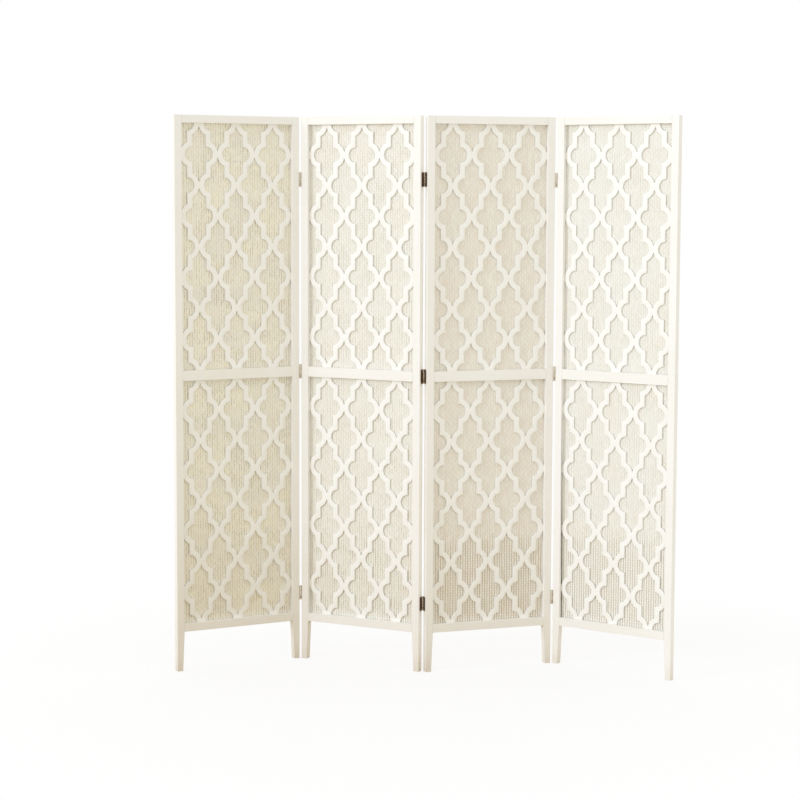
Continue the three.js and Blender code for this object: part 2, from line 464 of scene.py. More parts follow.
@dataclass(frozen=True)
class PlainWovenPaper:
    """Twisted paper yarn, plain woven in twin upright threads.

    The yarn is matt and uneven, and its fibres run along it. Between the upright threads are slits
    that the level threads cross, and the slits are painted dark as painted shade, so that they show
    as dark dashes. The crease between twin threads and the crossings where a level thread passes
    under are painted darker as painted shade, and those where it rides over paler as painted
    highlight. The dye drifts from straw to grey and rose across the sheet, and the painted shade in
    the slits grows darker towards the floor.
    """

    # The slubs' pale tone, and painted highlight where a level thread rides over an upright one.
    pale: str = "#FBF9F2"
    # The fibres' darker tone, and painted shade in the crease between twin threads and where a
    # level thread passes under.
    twist_and_crease_shade: str = "#E7E1CF"
    # The colour of the painted shade that shows in the slits between the threads.
    gap: str = "#A89676"
    grey: str = "#EEEBE0"
    rose: str = "#F6EBDF"
    roughness: float = 0.93
    ior: float = 1.45
    thread: str = "thread"
    # Paper fibres are hair-fine, which is drawn at 0.7 mm, so that they show.
    fibre: tuple[float, float] = (0.7 * MM, 9 * MM)
    # Where the painted shade in the slits grows darker towards the floor, measured up from the
    # sheet's foot.
    slit_shade_foot: tuple[float, float] = (220 * MM, 360 * MM)
    # How large the patches are where it is beaten looser, so that its slits show more painted
    # shade, and where it is greyer, or rosier.
    beating: Marks = (90 * MM, 90 * MM, 60 * MM)
    drift: Marks = (120 * MM, 120 * MM, 90 * MM)
    blush: Marks = (70 * MM, 70 * MM, 110 * MM)
    yarn_height: float = 0.45 * MM

    @cache
    def material(self, pitch: float, pick: float, weaving: Weaving) -> Material:
        """Builds the finish for a sheet that holds its threads' places in a mesh attribute.

        Args:
            pitch: The distance between two upright threads.
            pick: The distance between two level threads.
            weaving: How the sheet was woven.

        Returns:
            The material.
        """
        openness = weaving.openness
        made, tree = start_material(f"plain_woven_paper_{100 * openness:.0f}")
        place = add_node(tree, "Attribute", attribute_name=self.thread).outputs["Vector"]
        across, _, upward = add_node(tree, "SeparateXYZ", (place,)).outputs
        threads = (wave(tree, across, 2 * pitch, -math.pi / 2), wave(tree, upward, 2 * pick))
        crossing = add_node(tree, "Math", threads, operation="MULTIPLY").outputs[0]
        # How dark the painted shade in a slit may show: by how loosely that part is beaten, and
        # darker towards the foot.
        slit_shade_gain = spread_noise(tree, place, self.beating, 3.0)
        drawn = spread_noise(tree, place, (pitch * 0.62, pitch, pick * 2.2))
        # The slits, the level threads across them, those drawn too tight to show, the looser
        # beating, the foot, where the painted shade in the slits grows darker, and the level
        # threads where they pass over the upright ones.
        slits, tied, shown, beaten, foot, over = (
            add_node(tree, "MapRange", reach, interpolation_type="SMOOTHSTEP").outputs[0]
            for reach in (
                (wave(tree, across, pitch), 0.66, 0.95, 0.0, 1.0),
                (wave(tree, upward, pick), 0.3, 0.9, 1.0, 0.45),
                (drawn, 0.4, 0.56, 0.15, 1.0),
                (slit_shade_gain, 0.38, 0.64, 0.35 * openness, openness),
                (upward, *self.slit_shade_foot, weaving.slit_shade_gain, 0.0),
                (crossing, 0.5, 0.8, 0.0, 1.0),
            )
        )
        dark = add_node(tree, "Math", (beaten, foot), operation="ADD", use_clamp=True).outputs[0]
        loose = add_node(tree, "Math", (shown, foot), operation="MAXIMUM").outputs[0]
        for share in (slits, tied, loose):
            dark = add_node(tree, "Math", (dark, share), operation="MULTIPLY").outputs[0]
        fine, long = self.fibre
        fibres = spread_noise(tree, place, (fine, fine, long), 3.0)
        drift = spread_noise(tree, place, self.drift, 4.0)
        blush = spread_noise(tree, place, self.blush, 3.0)
        slubs = spread_noise(tree, place, (pitch * 0.9, pitch, pick * 2.6))
        # Painted shade in the crease between the twin threads.
        twin_crease_shade = wave(tree, across, pitch / 2)
        tints = (
            Tint(drift, self.grey, (0.38, 0.66), 0.7),
            Tint(blush, self.rose, (0.5, 0.68), 0.5),
            Tint(slubs, self.pale, (0.45, 0.7), 0.8),
            Tint(fibres, self.twist_and_crease_shade, (0.4, 0.68), 0.6),
            Tint(twin_crease_shade, self.twist_and_crease_shade, (0.7, 1.0), 0.45),
            # Painted highlight where the level threads ride over the upright ones, and painted
            # shade where they pass under.
            Tint(over, self.pale, peak=0.4),
            Tint(crossing, self.twist_and_crease_shade, (-0.5, -0.9), 0.3),
            # Painted shade in the slits, darker towards the foot.
            Tint(dark, self.gap),
        )
        proud = add_node(tree, "Math", (over, 0.8, fibres), operation="MULTIPLY_ADD").outputs[0]
        height = add_node(tree, "Math", (proud, slits), operation="SUBTRACT").outputs[0]
        relief = {"Height": height, "Strength": 0.6, "Distance": self.yarn_height}
        coat = {
            "Base Color": lay_tints(tree, weaving.yarn, tints),
            "Roughness": self.roughness,
            "Normal": add_node(tree, "Bump", relief).outputs[0],
            "IOR": self.ior,
        }
        finish_material(tree, coat)
        return made


@dataclass(frozen=True)
class BronzedSteel:
    """Pressed steel with an antiqued bronze plating.

    The plating is dark brown where it was left and rubs to a warm, brighter metal where hands and
    the turning knuckles have polished it.
    """

    dark: str = "#7F6652"
    rubbed: str = "#A68C70"
    bright: str = "#D6CDB6"
    # From where the plating was left to where it is rubbed.
    roughness: tuple[float, float] = (0.56, 0.28)
    patch: float = 7 * MM

    @cache
    def material(self, polished: bool) -> Material:
        """Builds the finish for a plate, or for a knuckle that turning has polished.

        Args:
            polished: Whether it is for the knuckles and pins.

        Returns:
            The material.
        """
        made, tree = start_material(f"bronzed_pressed_steel_{'polished' if polished else 'plate'}")
        place = add_node(tree, "TexCoord").outputs["Object"]
        patches = spread_noise(tree, place, (self.patch,) * 3, 4.0)
        stretch = (0.3, 0.55) if polished else (0.45, 0.75)
        under, rubbed = (self.rubbed, self.bright) if polished else (self.dark, self.rubbed)
        reach = (patches, 0.0, 1.0, *self.roughness)
        coat = {
            "Base Color": lay_tints(tree, under, [Tint(patches, rubbed, stretch)]),
            "Roughness": add_node(tree, "MapRange", reach).outputs[0],
            "Metallic": 1.0,
        }
        finish_material(tree, coat)
        return made


@dataclass(frozen=True)
class GalvanisedWire:
    """Flattened steel wire with a zinc coat, for staples: grey, and mottled by the zinc's grain."""

    colour: str = "#B9BBBD"
    spangle: str = "#989BA0"
    roughness: float = 0.38
    grain: float = 2 * MM

    @cache
    def material(self) -> Material:
        """Builds the finish.

        Returns:
            The material.
        """
        made, tree = start_material("galvanised_drawn_wire")
        place = add_node(tree, "TexCoord").outputs["Object"]
        mottle = spread_noise(tree, place, (self.grain,) * 3)
        coat = {
            "Base Color": lay_tints(tree, self.colour, [Tint(mottle, self.spangle)]),
            "Roughness": self.roughness,
            "Metallic": 1.0,
        }
        finish_material(tree, coat)
        return made


# ---- Mesh tools ----


def arc(
    centre: tuple[float, float], radius: float, first: float, last: float, count: int
) -> Outline:
    """Draws an arc.

    Args:
        centre: Its centre.
        radius: Its radius.
        first: The angle where it starts, in radians.
        last: The angle where it ends.
        count: How many points it has.

    Returns:
        Its points.
    """
    turns = np.linspace(first, last, count)
    return [(centre[0] + radius * math.cos(t), centre[1] + radius * math.sin(t)) for t in turns]


def circle(radius: float, sides: int = 28) -> Outline:
    """Draws a circle about the origin."""
    return arc((0, 0), radius, 0, math.tau, sides + 1)[:-1]


def turned_way(outline: Outline, anticlockwise: bool) -> Outline:
    """Gives a closed outline in one sense of turn.

    Args:
        outline: The outline's points.
        anticlockwise: The sense that it is wanted in.

    Returns:
        The outline, reversed if it ran the other way.
    """
    following = outline[1:] + outline[:1]
    area = sum(a[0] * b[1] - b[0] * a[1] for a, b in zip(outline, following))
    return outline if (area > 0) == anticlockwise else outline[::-1]


def mitres(outline: Outline) -> list[tuple[float, float]]:
    """Finds how far each point moves when the outline is drawn in by one unit to its left.

    Args:
        outline: The outline's points.

    Returns:
        One step for each point.
    """
    points = np.array(outline)
    edges = np.roll(points, -1, axis=0) - points
    edges /= np.linalg.norm(edges, axis=1)[:, None]
    left = np.stack([-edges[:, 1], edges[:, 0]], axis=1)
    before = np.roll(left, 1, axis=0)
    steps = (before + left) / (1 + (before * left).sum(axis=1))[:, None]
    return [tuple(step) for step in steps]


def add_slab(
    work: BMesh,
    outline: Outline,
    holes: Iterable[Outline],
    depth: float,
    ease: float,
    frame_of: Matrix,
    slots: tuple[int, int] = (0, 0),
    steps: int = 3,
) -> None:
    """Adds a slab with rounded arrises, as sanding or pressing leaves them.

    Args:
        work: The mesh to add it to.
        outline: Its outer edge, as points across and up.
        holes: The outlines of what is cut through it.
        depth: How thick it is, from its face at 0 back.
        ease: The arrises' radius.
        frame_of: Where it goes: a matrix from (across, up, back) to the piece's own frame.
        slots: The material slots of its faces and of its edges.
        steps: How many facets round each arris.
    """
    quarter = [math.pi / 2 * step / steps for step in range(steps + 1)]
    front = [(ease * (1 - math.sin(t)), ease * (1 - math.cos(t))) for t in quarter]
    levels = front + [(inset, depth - back) for inset, back in reversed(front)]
    loops = [turned_way(outline, True)] + [turned_way(hole, False) for hole in holes]
    rings: list[list[BMVert]] = [[] for _ in levels]
    flat: list[Vector] = []
    spans = []
    for loop in loops:
        start = len(flat)
        size = len(loop)
        spans.append(list(range(start, start + size)))
        drawn = list(zip(loop, mitres(loop)))
        for level, (inset, back) in enumerate(levels):
            for (a, b), (da, db) in drawn:
                place = frame_of @ Vector((a + da * inset, b + db * inset, back))
                rings[level].append(work.verts.new(place))
        flat += [Vector((a + da * ease, b + db * ease)) for (a, b), (da, db) in drawn]
        for level in range(len(levels) - 1):
            near, far = rings[level], rings[level + 1]
            for i in range(size):
                j, k = start + i, start + (i + 1) % size
                wall = work.faces.new((near[j], near[k], far[k], far[j]))
                wall.material_index = slots[1]
                wall.smooth = True
    _, _, faces, origins, _, _ = delaunay_2d_cdt(flat, [], spans, 2, TOUCHING)
    for corners in faces:
        chosen = [origins[corner][0] for corner in corners]
        for ring in (rings[0], rings[-1]):
            cap = work.faces.new([ring[i] for i in chosen])
            cap.material_index = slots[0]


def add_turning(work: BMesh, profile: Outline, sides: int = 24) -> None:
    """Adds a solid turned about the upright axis.

    Args:
        work: The mesh to add it to.
        profile: Radius and height of each point, from the foot's middle to the top's middle.
        sides: How many facets go round it.
    """
    angles = [math.tau * side / sides for side in range(sides)]
    rings = [
        [work.verts.new((r * math.cos(t), r * math.sin(t), h)) for t in angles]
        for r, h in profile[1:-1]
    ]
    for lower, upper in zip(rings, rings[1:]):
        for i in range(sides):
            j = (i + 1) % sides
            work.faces.new((lower[i], lower[j], upper[j], upper[i])).smooth = True
    for ring, (_, height) in ((rings[0], profile[0]), (rings[-1], profile[-1])):
        middle = work.verts.new((0, 0, height))
        for i in range(sides):
            work.faces.new((ring[i], ring[(i + 1) % sides], middle)).smooth = True


def add_object(name: str, data: ID) -> Object:
    """Adds an object to the scene.

    Args:
        name: Its name.
        data: Its mesh, lamp or camera.

    Returns:
        The object, at the origin.
    """
    made = bpy.data.objects.new(name, data)
    bpy.context.scene.collection.objects.link(made)
    return made


def finish_mesh(
    work: BMesh, name: str, materials: Sequence[Material], crease: float = 38
) -> Object:
    """Turns a mesh in the making into an object of the scene.

    Args:
        work: The mesh, which is freed.
        name: The object's name.
        materials: Its material slots.
        crease: The angle, in degrees, over which two faces meet in a hard edge.

    Returns:
        The object, at the origin.
    """
    bmesh.ops.recalc_face_normals(work, faces=work.faces)
    mesh = bpy.data.meshes.new(name)
    work.to_mesh(mesh)
    work.free()
    mesh.set_sharp_from_angle(angle=math.radians(crease))
    for material in materials:
        mesh.materials.append(material)
    return add_object(name, mesh)


def seat(piece: Object, place: Matrix, body: str, *nodes: str, slot: str = "") -> None:
    """Puts a finished piece in its place, on its body, in place of its CAD nodes.

    Args:
        piece: The piece, built in the frame that place stands for.
        place: That frame.
        body: The body that it rides on.
        *nodes: The CAD nodes that it stands for.
        slot: The record's material slot, if it has one. Not used.
    """
    piece.matrix_world = place
    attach(piece, body)
    if nodes:
        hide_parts(*nodes)
    LOG.info("%s rides on %s, for %s", piece.name, body, ", ".join(nodes) or "itself")


# ---- Sub-assemblies ----


@dataclass
class Frame:
    """The painted stiles and rails of a panel, which are the CAD nodes with eased arrises."""

    paint: BrushedAlkydOnPine = field(default_factory=BrushedAlkydOnPine)
    ease: float = 0.65 * MM
    facets: int = 3
    weld: float = 0.01 * MM
    # In degrees: what still counts as flat, and how sharp an edge has to be to get an arris.
    flat_within: float = 0.5
    sharp_from: float = 40
    upright: tuple[str, ...] = ("left_stile", "right_stile")
    level: tuple[str, ...] = ("top_rail", "middle_rail", "bottom_rail")

    def dress(self, panel: Panel) -> None:
        """Eases and paints the boards of one panel.

        Args:
            panel: The panel.
        """
        for grain, names in ((Grain.UPRIGHT, self.upright), (Grain.LEVEL, self.level)):
            paint = self.paint.material(grain, panel.heading)
            for name in names:
                board = frame["nodes"][f"{panel.body}_{name}"]
                self.round_off(board)
                board.data.materials.clear()
                board.data.materials.append(paint)
                LOG.info("%s eased and painted", board.name)

    def round_off(self, board: Object) -> None:
        """Rounds a board's arrises by modifiers, which leave its CAD mesh as it is.

        Args:
            board: The board.
        """
        weld = board.modifiers.new("weld", "WELD")
        weld.merge_threshold = self.weld
        plain = board.modifiers.new("plain_faces", "DECIMATE")
        plain.decimate_type = "DISSOLVE"
        plain.angle_limit = math.radians(self.flat_within)
        arris = board.modifiers.new("arris", "BEVEL")
        arris.width = self.ease
        arris.segments = self.facets
        arris.limit_method = "ANGLE"
        arris.angle_limit = math.radians(self.sharp_from)
        arris.use_clamp_overlap = False
        board.modifiers.new("weighted_normals", "WEIGHTED_NORMAL")


@dataclass
class LatticeBoard:
    """A pierced board of ogee cells with a round lobe on each side."""

    paint: SprayedAlkydOnFibreboard = field(default_factory=SprayedAlkydOnFibreboard)
    cells_across: int = 3
    half_rows: int = 8
    bar: float = 17 * MM
    lobe_over_neck: float = 0.5 * MM
    tip: float = 1.5 * MM
    tip_rise: float = 1.8 * MM
    lap: float = 5.7 * MM
    ease: float = 0.6 * MM
    lobe_steps: int = 28
    side_steps: int = 12
    tip_steps: int = 3

    def cell(self, half_pitch: float, row_pitch: float) -> Outline:
        """Draws one cell about its centre.

        Args:
            half_pitch: Half the distance between two cells of a row.
            row_pitch: The distance between two rows.

        Returns:
            Its outline.
        """
        neck = (half_pitch - self.bar) / 2
        lobe = neck + self.lobe_over_neck
        around = lobe + self.bar
        centre = half_pitch - neck
        first = math.acos((centre - self.tip) / around)
        last = math.acos((centre - neck) / around)
        side = arc((centre, row_pitch), -around, first, last, self.side_steps)
        crown = [
            (self.tip * math.sin(t), side[0][1] + self.tip_rise * math.cos(t))
            for t in np.linspace(0, math.pi / 2, self.tip_steps + 1)[:-1]
        ]
        bulge = arc((neck, 0), lobe, math.pi / 2, 0, self.lobe_steps // 2 + 1)
        quarter = crown + side + bulge
        right = quarter + [(x, -z) for x, z in quarter[-2::-1]]
        return right + [(-x, z) for x, z in right[-2:0:-1]]

    def clipped(self, outline: Outline, width: float, height: float) -> Outline:
        """Cuts an outline to the opening, one side of the opening at a time.

        Args:
            outline: The outline.
            width: The opening's width.
            height: The opening's height.

        Returns:
            What is left of it.
        """
        for axis, limit, sign in ((0, 0.0, 1), (0, width, -1), (1, 0.0, 1), (1, height, -1)):
            kept: Outline = []
            for a, b in zip(outline, outline[1:] + outline[:1]):
                inside = [sign * (p[axis] - limit) >= -TOUCHING for p in (a, b)]
                if inside[0]:
                    kept.append(a)
                if inside[0] != inside[1]:
                    share = (limit - a[axis]) / (b[axis] - a[axis])
                    kept.append(tuple(p + share * (q - p) for p, q in zip(a, b)))
            outline = kept
        return self.without_repeats(outline)

    @staticmethod
    def without_repeats(outline: Outline, least: float = 0.02 * MM) -> Outline:
        """Drops points that lie on the one before.

        Args:
            outline: The outline.
            least: The shortest step that is kept.

        Returns:
            The outline without them.
        """
        kept: Outline = []
        for point in outline:
            if not kept or math.dist(point, kept[-1]) > least:
                kept.append(point)
        if math.dist(kept[0], kept[-1]) <= least:
            kept.pop()
        return kept

    def build(self, panel: Panel, storey: Storey) -> None:
        """Builds one board in its panel's frame.

        Args:
            panel: The panel.
            storey: Which opening it fills.
        """
        sizes = panel.sizes
        width, height = sizes.opening_width, sizes.opening_height
        half_pitch = width / self.cells_across / 2
        row_pitch = height / self.half_rows
        cell = self.cell(half_pitch, row_pitch)
        cells = []
        for row in range(self.half_rows + 1):
            for column in range(self.cells_across + 1 - row % 2):
                x = half_pitch * (2 * column + row % 2)
                moved = [(x + a, row * row_pitch + b) for a, b in cell]
                cells.append(self.clipped(moved, width, height))
        edge = [(-self.lap, -self.lap), (width + self.lap, -self.lap)]
        edge += [(x, height + self.lap) for x, _ in reversed(edge)]
        # Across is the panel's x, up its z, and back its y.
        place = Matrix.Translation((sizes.stile, sizes.lattice_recess, sizes.opening_foot(storey)))
        turn = Matrix(((1, 0, 0, 0), (0, 0, 1, 0), (0, 1, 0, 0), (0, 0, 0, 1)))
        work = bmesh.new()
        add_slab(work, edge, cells, sizes.lattice_thickness, self.ease, place @ turn, (0, 1))
        materials = [self.paint.material(cut) for cut in (False, True)]
        made = finish_mesh(work, f"lattice_{storey.value}_{panel.number}", materials)
        node = f"{panel.body}_{storey.value}_lattice"
        seat(made, panel.matrix, panel.body, node, slot="lattice_paint")


@dataclass
class WovenSheet:
    """The woven paper sheet behind both openings of a panel, stretched flat in its rebate."""

    paper: PlainWovenPaper = field(default_factory=PlainWovenPaper)
    width: float = 413.4 * MM
    length: float = 1642.4 * MM
    lap: float = 11.7 * MM
    middle: float = 17.9 * MM
    core: float = 0.22 * MM
    rib: float = 0.33 * MM
    pitch: float = 8.6 * MM
    pick: float = 8.6 * MM
    across: int = 5
    # How far the upright threads sway, and over how many picks they do and grow thick or thin.
    wander: float = 0.7 * MM
    sway_picks: int = 9
    slub_picks: int = 3
    # How high a thread stands, in shares of the rib: where a level thread holds it down, how much
    # a slub changes it, and its least and most.
    under: float = 0.86
    slub: float = 0.3
    thinnest: float = 0.3
    thickest: float = 1.25
    # The power of the sine that its crown follows, which below 1 is fuller than round.
    roundness: float = 0.8
    # Each panel's sheet, from the left.
    weavings: tuple[Weaving, ...] = (
        Weaving("#FFF9E2", openness=1.0, slit_shade_gain=0.0),
        Weaving("#F4F3EA", openness=0.65, slit_shade_gain=0.4),
        Weaving("#F3E9DD", openness=0.2, slit_shade_gain=1.0),
        Weaving("#F3F3ED", openness=0.4, slit_shade_gain=0.9),
    )
    seed: int = 71

    def drifting(self, rng: np.random.Generator, rows: int, columns: int, step: int) -> np.ndarray:
        """Draws values that change slowly down each column.

        Args:
            rng: The random source.
            rows: How many values a column has.
            columns: How many columns.
            step: How many rows a change takes.

        Returns:
            The values, about 0 and mostly within 1.
        """
        knots = np.arange(0, rows + step, step)
        drawn = rng.normal(0, 0.5, (len(knots), columns))
        return np.stack([np.interp(np.arange(rows), knots, drawn[:, c]) for c in range(columns)], 1)

    def build(self, panel: Panel) -> None:
        """Builds the sheet of one panel in the panel's frame.

        Args:
            panel: The panel.
        """
        rng = np.random.default_rng(self.seed + panel.number)
        ribs = round(self.width / self.pitch)
        columns, rows = ribs * self.across + 1, round(self.length / self.pick) + 1
        flat_x = np.linspace(0, self.width, columns)
        flat_z = np.linspace(0, self.length, rows)
        phase = np.arange(columns) / self.across
        rib_of = np.minimum(phase.astype(int), ribs - 1)
        crown = np.abs(np.sin(math.pi * phase)) ** self.roundness
        slub = self.slub * self.drifting(rng, rows, ribs, self.slub_picks)[:, rib_of]
        posts = np.round(phase).astype(int)
        sway = self.drifting(rng, rows, ribs + 1, self.sway_picks)[:, posts]
        over = np.where((rib_of[None, :] + np.arange(rows)[:, None]) % 2, 1.0, self.under)
        proud, back = (
            self.core + self.rib * crown[None, :] * np.clip(share, self.thinnest, self.thickest)
            for share in (over + slub, 2 * self.under - over - slub)
        )
        x = np.clip(flat_x[None, :] + self.wander * sway, 0, self.width)
        x[:, 0], x[:, -1] = 0, self.width
        x += panel.sizes.stile - self.lap
        z = flat_z[:, None] + panel.sizes.leg + panel.sizes.bottom_rail - self.lap + 0 * x
        front_face = np.stack([x, self.middle - proud, z], -1).reshape(-1, 3)
        back_face = np.stack([x, self.middle + back, z], -1).reshape(-1, 3)
        count = rows * columns
        index = np.arange(count).reshape(rows, columns)
        quads = np.stack([index[:-1, :-1], index[:-1, 1:], index[1:, 1:], index[1:, :-1]], -1)
        quads = quads.reshape(-1, 4)
        rim = np.concatenate([index[0], index[1:, -1], index[-1, -2::-1], index[-2:0:-1, 0]])
        after = np.roll(rim, -1)
        hem = np.stack([rim, rim + count, after + count, after], -1)
        faces = np.concatenate([quads, quads[:, ::-1] + count, hem])
        name = f"woven_sheet_{panel.number}"
        mesh = bpy.data.meshes.new(name)
        mesh.from_pydata(np.concatenate([front_face, back_face]), [], faces.tolist())
        mesh.shade_smooth()
        thread = mesh.attributes.new(self.paper.thread, "FLOAT_VECTOR", "POINT")
        lie = np.stack(np.broadcast_arrays(flat_x[None, :], panel.number, flat_z[:, None]), -1)
        thread.data.foreach_set("vector", np.tile(lie.reshape(-1, 3), (2, 1)).ravel())
        threads = (self.width / ribs, self.length / (rows - 1))
        mesh.materials.append(self.paper.material(*threads, self.weavings[panel.number - 1]))
        made = add_object(name, mesh)
        seat(made, panel.matrix, panel.body, f"{panel.body}_woven_back", slot="woven_paper")
        rests = [f"{panel.body}_{part}" for part in ("top_rail", "middle_rail", "bottom_rail")]
        rests += [f"lattice_{storey.value}_{panel.number}" for storey in Storey]


@dataclass
class Staples:
    """The staples that hold the woven sheet in its rebate, seen from behind."""

    wire: GalvanisedWire = field(default_factory=GalvanisedWire)
    crown: float = 10 * MM
    flat: float = 1.3 * MM
    thick: float = 0.6 * MM
    leg: float = 1.6 * MM
    spacing: float = 82 * MM
    inset: float = 6 * MM
    behind: float = 18.6 * MM
    ease: float = 0.12 * MM
    # How far off its mark a staple is shot, and how far askew, in radians.
    slip: float = 1 * MM
    tilt: float = 0.05
    seed: int = 19

    def places(self, panel: Panel, sheet: WovenSheet) -> list[tuple[float, float, float]]:
        """Spaces the staples along the sheet's four edges and the middle rail.

        Args:
            panel: The panel.
            sheet: The sheet that they hold.

        Returns:
            Each staple's x, z and turn in the panel's frame.
        """
        sizes = panel.sizes
        left = sizes.stile - sheet.lap + self.inset
        foot = sizes.leg + sizes.bottom_rail - sheet.lap + self.inset
        right, top = sizes.width - left, sizes.height - sizes.top_rail + sheet.lap - self.inset
        middle = sizes.opening_foot(Storey.UPPER) - sizes.middle_rail / 2
        found = []
        count = round((top - foot) / self.spacing)
        for step in range(1, count):
            height = foot + (top - foot) * step / count
            found += [(x, height, math.pi / 2) for x in (left, right)]
        count = round((right - left) / self.spacing)
        for step in range(count + 1):
            x = left + (right - left) * step / count
            found += [(x, z, 0.0) for z in (foot, top)]
            if 0 < step < count:
                found.append((x, middle, 0.0))
        return found

    def build(self, panel: Panel, sheet: WovenSheet) -> None:
        """Builds the staples of one panel as one piece.

        Args:
            panel: The panel.
            sheet: The sheet that they hold.
        """
        rng = np.random.default_rng(self.seed + panel.number)
        half, bend = self.crown / 2, self.thick
        outline = [(-half, -self.leg), (-half, 0.0), (-half + bend / 2, bend)]
        outline += [(-x, z) for x, z in reversed(outline)]
        outline += [(half - bend, -self.leg), (half - bend, 0.0)]
        outline += [(-half + bend, 0.0), (-half + bend, -self.leg)]
        work = bmesh.new()
        for x, z, turn in self.places(panel, sheet):
            slip, tilt = rng.normal(0, self.slip, 2), rng.normal(0, self.tilt)
            # Across is the crown's length, up is away from the sheet, and back is its width.
            lie = Matrix.Translation((0, 0, -self.flat / 2))
            spot = Matrix.Translation((x + slip[0], self.behind, z + slip[1]))
            place = spot @ Matrix.Rotation(turn + tilt, 4, "Y") @ lie
            add_slab(work, outline, [], self.flat, self.ease, place, steps=1)
        made = finish_mesh(work, f"staples_{panel.number}", [self.wire.material()])
        seat(made, panel.matrix, panel.body)


@dataclass
class ButtHinge:
    """A small butt hinge: two leaves let against the stiles' edges, their knuckles and a pin."""

    steel: BronzedSteel = field(default_factory=BronzedSteel)
    height: float = 46 * MM
    plate: float = 1.2 * MM
    leaf_end: float = 17 * MM
    clear: float = 0.3 * MM
    knuckle: float = 2.9 * MM
    bore: float = 1.6 * MM
    pin: float = 1.4 * MM
    head: float = 2.4 * MM
    dome: float = 0.8 * MM
    gap: float = 0.4 * MM
    relief: float = 0.45 * MM
    corner: float = 3 * MM
    ease: float = 0.2 * MM
    overlap: float = 0.4 * MM
    screw: float = 2.6 * MM
    screw_rise: float = 0.35 * MM
    screw_ease: float = 0.15 * MM
    # Where the screws sit, as shares of the height, and how far one is turned past the last.
    screws_at: tuple[float, float] = (0.2, 0.8)
    screw_turns: tuple[float, float] = (0.5, 0.9)
    feet: dict[str, float] = field(
        default_factory=lambda: {"top": 1574 * MM, "middle": 942.5 * MM, "bottom": 200 * MM}
    )

    def rounded_plate(self) -> Outline:
        """Draws a leaf's plate, round at the two corners away from the knuckles.

        Returns:
            Its outline: across is away from the knuckles, and up is up.
        """
        start, bend = self.knuckle + self.relief, self.leaf_end - self.corner
        points = [(start, self.height), (start, 0.0)]
        for centre, first in ((self.corner, -math.pi / 2), (self.height - self.corner, 0.0)):
            points += arc((bend, centre), self.corner, first, first + math.pi / 2, 7)
        return points

    def curl(self, near: float, far: float, sides: int = 36) -> Outline:
        """Draws a knuckle's section: the plate's end, curled round the pin.

        Args:
            near: The plate's face towards the pin.
            far: The plate's face towards the stile.
            sides: How many facets go round it.

        Returns:
            Its outline: across is towards the stile, and up is towards the plate.
        """
        first = math.acos(far / self.knuckle)
        last = math.acos(near / self.knuckle) - math.tau
        end = self.knuckle + self.relief + self.overlap
        return [(far, end), *arc((0, 0), self.knuckle, first, last, sides), (near, end)]

    def spans(self, side: Side) -> list[tuple[float, float]]:
        """Finds the stretches of the hinge's height that a leaf's knuckles take.

        Args:
            side: The leaf's side.

        Returns:
            Foot and top of each knuckle.
        """
        quarter, half_gap = self.height / 4, self.gap / 2
        if side is Side.LEFT:
            return [(0, quarter - half_gap), (3 * quarter + half_gap, self.height)]
        return [(quarter + half_gap, 3 * quarter - half_gap)]

    def cross(self, long: float = 1.7 * MM, wide: float = 0.35 * MM) -> Outline:
        """Draws a screw's cross recess.

        Args:
            long: Half the length of an arm.
            wide: Half the width of an arm.

        Returns:
            Its outline.
        """
        arm = [(long, -wide), (long, wide), (wide, wide)]
        turns = [(1, 0), (0, 1), (-1, 0), (0, -1)]
        return [(c * x - s * y, s * x + c * y) for c, s in turns for x, y in arm]

    def build_leaf(self, fold: Fold, place: str, side: Side, panel: Panel) -> None:
        """Builds a leaf with its knuckles and screws, about the hinge's axis.

        Args:
            fold: The joint.
            place: Which of the joint's hinges.
            side: The leaf's side.
            panel: The panel that carries it.
        """
        outward = -1 if side is Side.LEFT else 1
        inward = 1 if fold.in_front else -1
        far = fold.from_edge - self.clear
        near = far - self.plate
        # Across is the hinge's y, up its z, and back from the plate's free face its x.
        plate_place = Matrix(
            ((0, 0, outward, outward * near), (inward, 0, 0, 0), (0, 1, 0, 0), (0, 0, 0, 1))
        )
        work = bmesh.new()
        add_slab(work, self.rounded_plate(), [], self.plate, self.ease, plate_place)
        section = self.curl(near, far)
        for foot, top in self.spans(side):
            knuckle_place = Matrix(
                ((outward, 0, 0, 0), (0, inward, 0, 0), (0, 0, 1, foot), (0, 0, 0, 1))
            )
            bore = circle(self.bore)
            add_slab(work, section, [bore], top - foot, self.ease, knuckle_place, (1, 1))
        across = (self.knuckle + self.relief + self.leaf_end) / 2
        first, following = self.screw_turns
        for number, share in enumerate(self.screws_at):
            turn = Matrix.Rotation(first + following * number + fold.number, 4, "Z")
            lift = Matrix.Translation((across, share * self.height, -self.screw_rise))
            spot = plate_place @ lift @ turn
            head = circle(self.screw)
            add_slab(work, head, [self.cross()], self.screw_rise, self.screw_ease, spot)
        name = f"leaf_{side.value}_{fold.number}_{place}"
        steels = [self.steel.material(polished) for polished in (False, True)]
        made = finish_mesh(work, name, steels)
        node = f"hinge_{fold.number}_{place}_leaf_{side.value}"
        axis = fold.axis_at(side, panel.sizes) + Vector((0, 0, self.feet[place]))
        seat(made, panel.matrix @ Matrix.Translation(axis), panel.body, node, slot="hinge_bronze")

